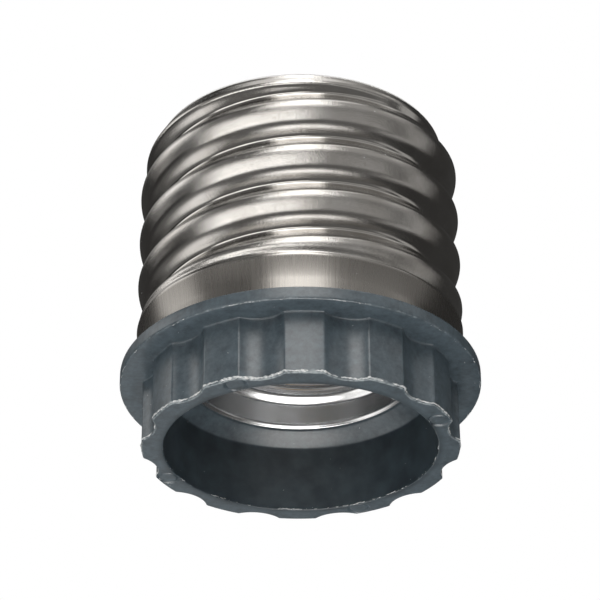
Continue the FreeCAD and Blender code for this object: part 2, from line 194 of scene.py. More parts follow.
@dataclass(frozen=True)
class MouldedPlastic:
    """Glass-filled polyester, moulded in a worn steel tool: matt slate grey with a cloudy skin.

    Its edges are whitened where flash was torn off. Outside the mouth's rim and on the ledge
    above the mouth its skin is painted a lighter tone, mottled by fine scuffs: painted light where
    the light falls there, which leaves the mouth's wall darker as painted shade.
    """

    name: str = "moulded_polyester"
    deep: str = "#2E383F"
    cloudy: str = "#45525A"
    # Lighter tone, mottled by scuffs, painted on the grip and the ledge as painted light.
    scuffed_and_painted_light: str = "#7B8A94"
    torn: str = "#A9B2B6"
    roughness: float = 0.33
    refractive_index: float = 1.7
    # The real grain is finer, and wouldn't show in the render.
    grain_mm: float = 0.16
    cloud_mm: float = 2.4
    scuff_mm: float = 0.8
    tear_mm: float = 0.55
    # Shares of the lighter tone painted on the outer grip and on the ledge as painted light, mottled by
    # scuffs.
    grip_scuffs_and_painted_light: float = 0.5
    grip_from_mm: float = 16.3
    grip_to_mm: float = 16.9
    ledge_scuffs_and_painted_light: float = 0.4
    ledge_from_mm: float = 8.3
    ledge_to_mm: float = 8.5
    relief: float = 0.45
    relief_mm: float = 0.06

    def material(self) -> bpy.types.Material:
        """Builds the finish and returns it."""
        finish, tree = new_material(self.name)
        place = add_node(tree, "ShaderNodeTexCoord").outputs["Object"]
        clouds = add_node(
            tree, "ShaderNodeTexNoise", {"Vector": place, "Scale": 1 / (self.cloud_mm * MM), "Detail": 5.0}
        )
        tone = add_node(
            tree, "ShaderNodeValToRGB", {"Fac": clouds}, stops=((0.32, self.deep), (0.72, self.cloudy))
        )
        flat = add_node(tree, "ShaderNodeVectorMath", {0: place, 1: (1, 1, 0)}, operation="MULTIPLY")
        radius = add_node(tree, "ShaderNodeVectorMath", {0: flat}, operation="LENGTH").outputs["Value"]
        # Painted light: the lighter scuffed tone covers everything outside the mouth's wall and everything
        # above the ledge, standing in for the light that falls there; the mouth's wall keeps the darker
        # tone as painted shade.
        painted_light_and_scuffs = add_node(
            tree,
            "ShaderNodeMapRange",
            {
                "Value": radius,
                "From Min": self.grip_from_mm * MM,
                "From Max": self.grip_to_mm * MM,
                "To Max": self.grip_scuffs_and_painted_light,
            },
        )
        height = add_node(tree, "ShaderNodeSeparateXYZ", {0: place}).outputs["Z"]
        ledge = add_node(
            tree,
            "ShaderNodeMapRange",
            {
                "Value": height,
                "From Min": self.ledge_from_mm * MM,
                "From Max": self.ledge_to_mm * MM,
                "To Max": self.ledge_scuffs_and_painted_light,
            },
        )
        painted_light_and_scuffs = add_node(tree, "ShaderNodeMath", {0: painted_light_and_scuffs, 1: ledge}, operation="MAXIMUM")
        scuffs = add_node(
            tree,
            "ShaderNodeTexNoise",
            {"Vector": place, "Scale": 1 / (self.scuff_mm * MM), "Detail": 9.0, "Roughness": 0.72},
        )
        scuffed_and_painted_light = add_node(
            tree, "ShaderNodeMapRange", {"Value": scuffs, "From Min": 0.3, "From Max": 0.8}
        )
        painted_light_and_scuffs = add_node(tree, "ShaderNodeMath", {0: painted_light_and_scuffs, 1: scuffed_and_painted_light}, operation="MULTIPLY")
        tone = add_node(
            tree,
            "ShaderNodeMix",
            {"Factor": painted_light_and_scuffs, 6: tone, 7: linear(self.scuffed_and_painted_light)},
            data_type="RGBA",
        ).outputs[2]
        grain = add_node(
            tree, "ShaderNodeTexNoise", {"Vector": place, "Scale": 1 / (self.grain_mm * MM), "Detail": 3.0}
        )
        wear = add_node(tree, "ShaderNodeAttribute", attribute_name="wear").outputs["Fac"]
        ragged = add_node(
            tree, "ShaderNodeTexNoise", {"Vector": place, "Scale": 1 / (self.tear_mm * MM), "Detail": 6.0}
        )
        broken = add_node(tree, "ShaderNodeMath", {0: wear, 1: ragged}, operation="MULTIPLY")
        torn = add_node(tree, "ShaderNodeValToRGB", {"Fac": broken}, stops=((0.24, 0.0), (0.5, 0.85)))
        colour = add_node(
            tree,
            "ShaderNodeMix",
            {"Factor": torn, 6: tone, 7: linear(self.torn)},
            data_type="RGBA",
        ).outputs[2]
        rough = add_node(
            tree,
            "ShaderNodeMapRange",
            {"Value": clouds, "To Min": self.roughness - 0.05, "To Max": self.roughness + 0.07},
        )
        relief = add_node(tree, "ShaderNodeMath", {0: grain, 1: broken, 2: 0.5}, operation="MULTIPLY_ADD")
        bump = add_node(
            tree,
            "ShaderNodeBump",
            {"Height": relief, "Strength": self.relief, "Distance": self.relief_mm * MM},
        )
        shader = add_node(
            tree,
            "ShaderNodeBsdfPrincipled",
            {"Base Color": colour, "Roughness": rough, "Normal": bump, "IOR": self.refractive_index},
        )
        add_node(tree, "ShaderNodeOutputMaterial", {"Surface": shader})
        return finish


@dataclass(frozen=True)
class RolledMetal:
    """Sheet metal, rolled, pressed or turned: bright with fine streaks along the axis.

    A rolled wave is grained where its crests were stretched, and its skirt is brushed duller.
    """

    name: str
    colour: str
    stained: str
    roughness: float
    # Streaks and grain are coarser than the real ones, which wouldn't show in the render.
    streak_mm: float = 0.22
    streak_length_mm: float = 7.0
    streak_radius_mm: float = 18.0
    grain_mm: float = 0.11
    crest_grain: float = 4.5
    cloud_mm: float = 5.0
    relief: float = 0.12
    relief_mm: float = 0.05
    brushed_below_mm: float = 0.0
    brushed_blend_mm: float = 0.5
    brushed: float = 0.0
    dulled: str = "#93908C"

    def material(self) -> bpy.types.Material:
        """Builds the finish and returns it."""
        finish, tree = new_material(self.name)
        place = add_node(tree, "ShaderNodeTexCoord").outputs["Object"]
        flat = add_node(tree, "ShaderNodeVectorMath", {0: place, 1: (1, 1, 0)}, operation="MULTIPLY")
        outward = add_node(tree, "ShaderNodeVectorMath", {0: flat}, operation="NORMALIZE")
        spread = add_node(
            tree,
            "ShaderNodeVectorMath",
            {0: outward, "Scale": self.streak_radius_mm / self.streak_mm},
            operation="SCALE",
        )
        rise = add_node(
            tree,
            "ShaderNodeVectorMath",
            {0: place, 1: (0, 0, 1 / (self.streak_length_mm * MM))},
            operation="MULTIPLY",
        )
        drawn = add_node(tree, "ShaderNodeVectorMath", {0: spread, 1: rise}, operation="ADD")
        streaks = add_node(tree, "ShaderNodeTexNoise", {"Vector": drawn, "Scale": 1.0, "Detail": 4.0})
        grain = add_node(
            tree, "ShaderNodeTexNoise", {"Vector": place, "Scale": 1 / (self.grain_mm * MM), "Detail": 2.0}
        )
        crest = add_node(tree, "ShaderNodeAttribute", attribute_name="crest").outputs["Fac"]
        stretched = add_node(tree, "ShaderNodeMath", {0: grain, 1: crest}, operation="MULTIPLY")
        relief = add_node(
            tree,
            "ShaderNodeMath",
            {0: stretched, 1: self.crest_grain, 2: streaks},
            operation="MULTIPLY_ADD",
        )
        clouds = add_node(
            tree, "ShaderNodeTexNoise", {"Vector": place, "Scale": 1 / (self.cloud_mm * MM), "Detail": 3.0}
        )
        colour = add_node(
            tree, "ShaderNodeValToRGB", {"Fac": clouds}, stops=((0.3, self.stained), (0.7, self.colour))
        )
        rough = add_node(
            tree,
            "ShaderNodeMapRange",
            {"Value": streaks, "To Min": self.roughness - 0.05, "To Max": self.roughness + 0.08},
        )
        height = add_node(tree, "ShaderNodeSeparateXYZ", {0: place}).outputs["Z"]
        brushed = add_node(
            tree,
            "ShaderNodeMapRange",
            {
                "Value": height,
                "From Min": self.brushed_below_mm * MM,
                "From Max": (self.brushed_below_mm + self.brushed_blend_mm) * MM,
                "To Min": self.brushed,
                "To Max": 0.0,
            },
        )
        rough = add_node(tree, "ShaderNodeMath", {0: rough, 1: brushed}, operation="ADD")
        worn = add_node(
            tree, "ShaderNodeMath", {0: brushed, 1: 1 / max(self.brushed, 0.001)}, operation="MULTIPLY"
        )
        colour = add_node(
            tree,
            "ShaderNodeMix",
            {"Factor": worn, 6: colour, 7: linear(self.dulled)},
            data_type="RGBA",
        ).outputs[2]
        bump = add_node(
            tree,
            "ShaderNodeBump",
            {"Height": relief, "Strength": self.relief, "Distance": self.relief_mm * MM},
        )
        shader = add_node(
            tree,
            "ShaderNodeBsdfPrincipled",
            {"Base Color": colour, "Metallic": 1.0, "Roughness": rough, "Normal": bump},
        )
        add_node(tree, "ShaderNodeOutputMaterial", {"Surface": shader})
        return finish


@dataclass(frozen=True)
class PlainSkin:
    """A pale matt finish with a little change of tone, for torn flash and for dust."""

    name: str
    dark: str
    pale: str
    roughness: float
    patch_mm: float = 0.5

    def material(self) -> bpy.types.Material:
        """Builds the finish and returns it."""
        finish, tree = new_material(self.name)
        place = add_node(tree, "ShaderNodeTexCoord").outputs["Object"]
        patches = add_node(
            tree, "ShaderNodeTexNoise", {"Vector": place, "Scale": 1 / (self.patch_mm * MM), "Detail": 3.0}
        )
        tone = add_node(
            tree, "ShaderNodeValToRGB", {"Fac": patches}, stops=((0.35, self.dark), (0.65, self.pale))
        )
        shader = add_node(
            tree, "ShaderNodeBsdfPrincipled", {"Base Color": tone, "Roughness": self.roughness}
        )
        add_node(tree, "ShaderNodeOutputMaterial", {"Surface": shader})
        return finish


class Finish(Enum):
    """The finishes of the adapter, each built once."""

    MOULDING = MouldedPlastic()
    FLASH = PlainSkin("torn_polyester_flash", "#A8B0B4", "#F4F5F5", 0.5, patch_mm=0.35)
    DUST = PlainSkin("dust", "#B9BCBD", "#F2F3F3", 0.8)
    OUTER_NICKEL = RolledMetal(
        "rolled_nickel_plate", "#C7C5C2", "#B5B2AE", 0.13, relief=0.15, brushed_below_mm=14.6, brushed=0.13
    )
    INNER_NICKEL = RolledMetal("drawn_nickel_plate", "#EBECED", "#E1E2E4", 0.2, relief=0.0)
    CONTACT_NICKEL = RolledMetal("pressed_nickel_plate", "#CDC7BE", "#B9B1A6", 0.24, relief=0.08)
    BRASS = RolledMetal("sheet_brass", "#D8B56A", "#C29A52", 0.28, relief=0.08)
    ZINC = RolledMetal("zinc_plated_steel", "#BFC3C6", "#A5AAAE", 0.3, relief=0.1)

    def material(self) -> bpy.types.Material:
        """Gives the finish's material, building it on first use."""
        return bpy.data.materials.get(self.value.name) or self.value.material()


def add_piece(mesh: bpy.types.Mesh, finish: Finish, nodes: Sequence[str]) -> bpy.types.Object:
    """Adds a finished mesh as a piece that stands for some nodes of the model.

    Args:
        mesh: Mesh in metres, in the frame of the model. The piece takes its name.
        finish: Finish of the whole piece.
        nodes: Nodes that the piece replaces.

    Returns:
        The new object, not yet riding on a body.
    """
    if not mesh.materials:
        mesh.materials.append(finish.material())
    mesh.shade_smooth()
    piece = bpy.data.objects.new(mesh.name, mesh)
    bpy.context.scene.collection.objects.link(piece)
    if nodes:
        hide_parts(*nodes)
    LOG.info("%s: %d faces", piece.name, len(mesh.polygons))
    return piece


def softened(corners: Sequence[Corner], steps: int = 3) -> Outline:
    """Rounds the corners of a closed outline and splits its longer sides.

    Args:
        corners: Radius, height, size of the round and number of cuts in the side that follows.
        steps: Number of short sides in each round.

    Returns:
        The outline's points, always as many for the same corners.
    """
    points: Outline = []
    ends = []
    count = len(corners)
    for index, (radius, height, size, _) in enumerate(corners):
        here = Vector((radius, height))
        before = Vector(corners[index - 1][:2]) - here
        after = Vector(corners[(index + 1) % count][:2]) - here
        reach = min(size, 0.45 * before.length, 0.45 * after.length)
        first, last = here + before.normalized() * reach, here + after.normalized() * reach
        ends.append((first, here, last))
    for index, (first, here, last) in enumerate(ends):
        for step in range(steps + 1):
            share = step / steps
            points.append(tuple(first.lerp(here, share).lerp(here.lerp(last, share), share)))
        following = ends[(index + 1) % count][0]
        cuts = corners[index][3]
        points += [tuple(last.lerp(following, cut / (cuts + 1))) for cut in range(1, cuts + 1)]
    return points


def ring_mesh(
    name: str,
    sections: Sequence[Outline],
    wear: Callable[[float, float, float], float] | None = None,
) -> bpy.types.Mesh:
    """Joins closed outlines that stand round the axis to one closed skin.

    Args:
        name: Name of the mesh.
        sections: One outline in millimetres for each column, evenly spaced from the near side.
        wear: Gives the wear of a point from its azimuth, radius and height, if the piece has any.

    Returns:
        The mesh in metres.
    """
    columns, count = len(sections), len(sections[0])
    spots = [
        (360 * column / columns, radius, height)
        for column, section in enumerate(sections)
        for radius, height in section
    ]
    faces = []
    for column in range(columns):
        here, there = column * count, (column + 1) % columns * count
        for step in range(count):
            following = (step + 1) % count
            faces.append((here + step, there + step, there + following, here + following))
    mesh = bpy.data.meshes.new(name)
    mesh.from_pydata([at(*spot) for spot in spots], [], faces)
    if wear:
        field = mesh.attributes.new("wear", "FLOAT", "POINT")
        field.data.foreach_set("value", [wear(*spot) for spot in spots])
    return mesh


def turned_mesh(name: str, corners: Sequence[Corner], columns: int) -> bpy.types.Mesh:
    """Turns an outline round the axis and closes it on the axis.

    Args:
        name: Name of the mesh.
        corners: Corners as softened() takes them, in millimetres.
        columns: Number of columns in a full turn.

    Returns:
        The mesh in metres.
    """
    mesh = ring_mesh(name, [softened(corners)] * columns)
    nearest = 0.0005 * MM
    work = bmesh.new()
    work.from_mesh(mesh)
    bmesh.ops.remove_doubles(work, verts=work.verts, dist=nearest)
    bmesh.ops.dissolve_degenerate(work, edges=work.edges, dist=nearest)
    work.to_mesh(mesh)
    work.free()
    return mesh


@dataclass
class MouldedBody:
    """The dark moulding: mouth, fluted grip, flange, funnel, sleeve and contact nose, in millimetres."""

    mouth_radius: float = 16.07
    mouth_depth: float = 8.4
    grip_radius: float = 18.6
    grip_height: float = 7.87
    flute_depth: float = 1.05
    flute_cutter: float = 4.3
    flute_count: int = 12
    first_flute: float = 16.5
    flange_radius: float = 21.38
    flange_top: float = 9.47
    sleeve_radius: float = 17.0
    shoulder: float = 40.95
    nose_radius: float = 13.9
    nose_taper: float = 4.4
    nose_top: float = 46.55
    bore_radius: float = 13.95
    funnel_top: float = 9.9
    floor: float = 36.0
    rivet_hole: float = 1.55
    mark_azimuths: tuple[float, ...] = (-24.2, -114.2, 65.8, 155.8)
    mark_radius: float = 1.2
    mark_rim: float = 0.2
    mark_floor: float = 0.06
    lip_wear: float = 0.42
    mouth_wear: float = 0.3
    flange_wear: float = 0.4
    land_whitening: float = 0.12
    columns: int = 960

    def grip(self, azimuth: float) -> float:
        """Gives the outer radius of the fluted grip at an azimuth."""
        pitch = 360 / self.flute_count
        away = (azimuth - self.first_flute + pitch / 2) % pitch - pitch / 2
        centre = self.grip_radius - self.flute_depth + self.flute_cutter
        aside = centre * math.sin(math.radians(away))
        if abs(aside) >= self.flute_cutter:
            return self.grip_radius
        cut = centre * math.cos(math.radians(away)) - math.sqrt(self.flute_cutter**2 - aside**2)
        return min(cut, self.grip_radius)

    def section(self, azimuth: float) -> Outline:
        """Gives the moulding's closed outline at one azimuth."""
        grip = self.grip(azimuth)
        inner = self.sleeve_radius
        outline = softened([
            (self.mouth_radius, 0.0, 0.12, 16),
            (grip, 0.0, 0.1, 8),
            (grip, self.grip_height, 0.22, 2),
            (self.flange_radius, self.grip_height, 0.25, 2),
            (self.flange_radius, self.flange_top, 0.25, 1),
            (inner, self.flange_top, 0.1, 2),
            (inner, self.shoulder, 0.1, 0),
            (self.nose_radius, self.shoulder, 0.2, 1),
            (self.nose_radius - self.nose_taper, self.nose_top, 0.6, 1),
            (self.rivet_hole, self.nose_top, 0.05, 0),
            (self.rivet_hole, self.floor, 0.05, 0),
            (self.bore_radius, self.floor, 0.1, 2),
            (self.bore_radius, self.funnel_top, 0.2, 2),
            (self.mouth_radius, self.mouth_depth, 0.18, 8),
        ])
        return [(radius, self.marked(azimuth, radius, height)) for radius, height in outline]

    def marked(self, azimuth: float, radius: float, height: float) -> float:
        """Sinks a point of the lip into a pin mark, and keeps any other point where it is."""
        if height > 0.01 or radius > self.grip_radius:
            return height
        middle = (self.mouth_radius + self.grip_radius) / 2
        for mark in self.mark_azimuths:
            gap = (at(azimuth, radius, 0) - at(mark, middle, 0)).length / MM
            rim = abs(gap - self.mark_radius)
            sunk = self.mark_floor if gap < self.mark_radius else 0.0
            height += self.mark_rim * max(0.0, 1 - rim / self.mark_rim) + sunk
        return height

    def wear(self, azimuth: float, radius: float, height: float) -> float:
        """Gives how far a point is whitened: most on the lip's and flange's edges on the near side."""
        grip = self.grip(azimuth)
        lip = math.hypot(radius - grip, height)
        mouth = math.hypot(radius - self.mouth_radius, height)
        flange = math.hypot(radius - self.flange_radius, height - self.grip_height)
        edges = (
            (lip, self.lip_wear, 0.55 + 0.45 * nearness(azimuth)),
            (mouth, self.mouth_wear, 0.62),
            (flange, self.flange_wear, 0.7),
        )
        amount = max(most * max(0.0, 1 - gap / reach) for gap, reach, most in edges)
        land = abs(grip - self.grip_radius) < 0.06 and radius > self.grip_radius - 0.1
        return max(amount, self.land_whitening if land and height < self.grip_height else 0.0)

    def build(self) -> bpy.types.Object:
        """Makes the moulding, rides it on the holder and returns it."""
        sections = [self.section(360 * column / self.columns) for column in range(self.columns)]
        mesh = ring_mesh("moulding", sections, self.wear)
        piece = add_piece(mesh, Finish.MOULDING, ["insulating_body"])
        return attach(piece, HOLDER)


@dataclass(frozen=True)
class Wave:
    """One pitch of a rolled thread, as sizes in millimetres of its even and odd swings."""

    even: tuple[float, float, float, float]
    odd: tuple[float, float, float, float]

    def samples(self) -> list[float]:
        """Gives the wave's height at even steps over one pitch."""
        swings = list(zip(ORDERS, self.even, self.odd))
        return [
            sum(even * math.cos(order * turn) + odd * math.sin(order * turn) for order, even, odd in swings)
            for turn in (TAU * step / 360 for step in range(360))
        ]

    def reach(self) -> float:
        """Gives how far the crest stands above the wave's middle."""
        return max(self.samples())

    def depth(self) -> float:
        """Gives the height from root to crest."""
        return max(self.samples()) - min(self.samples())


@dataclass
class RolledShell:
    """A sheet metal shell rolled to a right-hand knuckle thread, in millimetres.

    Its skirt stays plain up to FLARE_START of its height and flares from there in a curve. The
    groove's middle lies GROOVE_RISE above the skirt.
    """

    FLARE_START: ClassVar[float] = 0.46
    FLARE_POWER: ClassVar[float] = 1.25
    LIP_HEIGHT: ClassVar[float] = 0.45
    GROOVE_RISE: ClassVar[float] = 0.4
    GROOVE_HALF: ClassVar[float] = 0.85

    name: str
    node: str
    finish: Finish
    low: float
    wall_top: float
    pitch: float
    crest: float
    wave: Wave
    sheet: float
    skirt: float
    end: float
    plain: float
    run_in: float
    fade: float
    opening: float
    phase: float
    flare: float
    lip: float
    groove: float
    columns: int
    rows_per_pitch: int
    inward: float

    @staticmethod
    def tree() -> GeometryTree:
        """Builds the rule of the rolled wall: radius from height and turn, eased in and out."""
        made = GeometryTree(
            "Rolled wall",
            {
                "Columns": "Int", "Rows": "Int", "Low": "Float", "Span": "Float", "Pitch": "Float",
                "Crest": "Float", "Reach": "Float", "Depth": "Float", "Skirt": "Float", "End": "Float",
                "Plain": "Float", "Run in": "Float", "Fade": "Float", "Phase": "Float", "Flare": "Float",
                "Lip": "Float", "Groove": "Float",
                **{f"{kind} {order}": "Float" for kind in SWINGS for order in ORDERS},
            },
        )
        tree, named = made.tree, made.named
        calc = partial(add_node, tree, "ShaderNodeMath")
        blend = partial(add_node, tree, "ShaderNodeMapRange", interpolation_type="SMOOTHSTEP")
        sheet = add_node(
            tree,
            "GeometryNodeMeshGrid",
            {"Size X": 1.0, "Size Y": 1.0, "Vertices X": named("Columns"), "Vertices Y": named("Rows")},
        )
        spot = add_node(tree, "ShaderNodeSeparateXYZ", {0: add_node(tree, "GeometryNodeInputPosition")})
        turn = calc({0: spot.outputs[0], 1: 0.5}, operation="ADD")
        share = calc({0: spot.outputs[1], 1: 0.5}, operation="ADD")
        height = calc({0: share, 1: named("Span"), 2: named("Low")}, operation="MULTIPLY_ADD")
        lift = calc({0: height, 1: named("Phase")}, operation="SUBTRACT")
        raised = calc({0: lift, 1: named("Pitch")}, operation="DIVIDE")
        phase = calc({0: raised, 1: turn}, operation="SUBTRACT")
        wave = calc({0: named("Crest"), 1: named("Reach")}, operation="SUBTRACT")
        for order in ORDERS:
            angle = calc({0: phase, 1: TAU * order}, operation="MULTIPLY")
            for kind, operation in SWINGS.items():
                swing = calc({0: angle}, operation=operation)
                wave = calc({0: swing, 1: named(f"{kind} {order}"), 2: wave}, operation="MULTIPLY_ADD")
        thread_low = calc({0: named("Low"), 1: named("Plain")}, operation="ADD")
        thread_full = calc({0: thread_low, 1: named("Run in")}, operation="ADD")
        rise = blend({"Value": height, "From Min": thread_low, "From Max": thread_full})
        flare_low = calc(
            {0: named("Plain"), 1: RolledShell.FLARE_START, 2: named("Low")}, operation="MULTIPLY_ADD"
        )
        opened = add_node(
            tree, "ShaderNodeMapRange", {"Value": height, "From Min": flare_low, "From Max": thread_low}
        )
        curved = calc({0: opened, 1: RolledShell.FLARE_POWER}, operation="POWER")
        flared = calc({0: curved, 1: named("Flare"), 2: named("Skirt")}, operation="MULTIPLY_ADD")
        above_edge = calc({0: height, 1: named("Low")}, operation="SUBTRACT")
        lip = blend({
            "Value": above_edge,
            "From Max": RolledShell.LIP_HEIGHT,
            "To Min": named("Lip"),
            "To Max": 0.0,
        })
        groove_middle = calc({0: thread_low, 1: RolledShell.GROOVE_RISE}, operation="ADD")
        groove_offset = calc({0: height, 1: groove_middle}, operation="SUBTRACT")
        groove_side = calc({0: groove_offset}, operation="ABSOLUTE")
        groove = blend({
            "Value": groove_side,
            "From Max": RolledShell.GROOVE_HALF,
            "To Min": named("Groove"),
            "To Max": 0.0,
        })
        plain = calc({0: flared, 1: lip}, operation="ADD")
        sunk = calc({0: wave, 1: groove}, operation="SUBTRACT")
        over = calc({0: sunk, 1: plain}, operation="SUBTRACT")
        lower = calc({0: over, 1: rise, 2: plain}, operation="MULTIPLY_ADD")
        top = calc({0: named("Low"), 1: named("Span")}, operation="ADD")
        fade_low = calc({0: top, 1: named("Fade")}, operation="SUBTRACT")
        faded = blend({"Value": height, "From Min": fade_low, "From Max": top})
        fall = calc({0: 1.0, 1: faded}, operation="SUBTRACT")
        above = calc({0: lower, 1: named("End")}, operation="SUBTRACT")
        radius = calc({0: above, 1: fall, 2: named("End")}, operation="MULTIPLY_ADD")
        angle = calc({0: turn, 1: TAU}, operation="MULTIPLY")
        cosine = calc({0: angle}, operation="COSINE")
        sine = calc({0: angle}, operation="SINE")
        x = calc({0: radius, 1: cosine}, operation="MULTIPLY")
        y = calc({0: radius, 1: sine}, operation="MULTIPLY")
        spot_mm = add_node(tree, "ShaderNodeCombineXYZ", {0: x, 1: y, 2: height})
        spot_m = add_node(tree, "ShaderNodeVectorMath", {0: spot_mm, "Scale": MM}, operation="SCALE")
        valley = calc({0: named("Crest"), 1: named("Depth")}, operation="SUBTRACT")
        relative = calc({0: wave, 1: valley}, operation="SUBTRACT")
        level = calc({0: relative, 1: named("Depth")}, operation="DIVIDE")
        eased = calc({0: level, 1: rise}, operation="MULTIPLY")
        marked = add_node(
            tree,
            "GeometryNodeStoreNamedAttribute",
            {"Geometry": sheet, "Name": "crest", "Value": eased},
            data_type="FLOAT",
            domain="POINT",
        )
        placed = add_node(tree, "GeometryNodeSetPosition", {"Geometry": marked, "Position": spot_m})
        closed = add_node(tree, "GeometryNodeMergeByDistance", {"Geometry": placed, "Distance": 0.001 * MM})
        made.close(closed)
        return made

    def build(self, rule: GeometryTree) -> bpy.types.Object:
        """Makes the shell with its turned-in edge, rides it on the holder and returns it.

        Args:
            rule: The tree that rolls the wall.

        Returns:
            The finished shell.
        """
        span = self.wall_top - self.low
        rows = int(round(span / self.pitch * self.rows_per_pitch)) + 1
        wall = rule.bake(
            self.name,
            bpy.data.meshes.new(self.name + "_start"),
            {
                "Columns": self.columns + 1, "Rows": rows, "Low": self.low, "Span": span,
                "Pitch": self.pitch, "Crest": self.crest, "Reach": self.wave.reach(),
                "Depth": self.wave.depth(), "Skirt": self.skirt, "End": self.end, "Plain": self.plain,
                "Run in": self.run_in, "Fade": self.fade, "Phase": self.phase, "Flare": self.flare,
                "Lip": self.lip, "Groove": self.groove,
                **{f"Even {order}": size for order, size in zip(ORDERS, self.wave.even)},
                **{f"Odd {order}": size for order, size in zip(ORDERS, self.wave.odd)},
                "Finish": self.finish.material(),
            },
        )
        self.turn_in(wall)
        piece = add_piece(wall, self.finish, [self.node])
        thick = piece.modifiers.new("Sheet", "SOLIDIFY")
        thick.thickness = self.sheet * MM
        thick.offset = self.inward
        thick.use_even_offset = True
        graph = bpy.context.evaluated_depsgraph_get()
        made = bpy.data.meshes.new_from_object(piece.evaluated_get(graph))
        piece.modifiers.clear()
        piece.data = made
        made.name = self.name
        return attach(piece, HOLDER)

    def turn_in(self, mesh: bpy.types.Mesh) -> None:
        """Carries the wall's upper edge over a small round and in to the opening.

        Args:
            mesh: The rolled wall, changed in place.
        """
        work = bmesh.new()
        work.from_mesh(mesh)
        rim = (self.wall_top - 0.01) * MM
        edge = [vert for vert in work.verts if vert.co.z > rim]
        edge.sort(key=lambda vert: math.atan2(vert.co.y, vert.co.x))
        rings = [
            (self.end - self.sheet * (1 - math.cos(bend)), self.wall_top + self.sheet * math.sin(bend))
            for bend in (TAU * step / 16 for step in range(1, 5))
        ]
        inner, top = self.end - self.sheet, self.wall_top + self.sheet
        rings += [(inner + (self.opening - inner) * step / 4, top) for step in range(1, 5)]
        for radius, height in rings:
            grown = []
            for vert in edge:
                scale = radius * MM / math.hypot(vert.co.x, vert.co.y)
                grown.append(work.verts.new((vert.co.x * scale, vert.co.y * scale, height * MM), vert))
            for step, vert in enumerate(edge):
                work.faces.new((edge[step - 1], vert, grown[step], grown[step - 1]))
            edge = grown
        bmesh.ops.recalc_face_normals(work, faces=work.faces)
        outer = max(work.faces, key=lambda f: math.hypot(*f.calc_center_median().xy))
        middle = outer.calc_center_median()
        if outer.normal.x * middle.x + outer.normal.y * middle.y < 0:
            bmesh.ops.reverse_faces(work, faces=work.faces)
        for face in work.faces:
            face.smooth = True
        work.to_mesh(mesh)
        work.free()


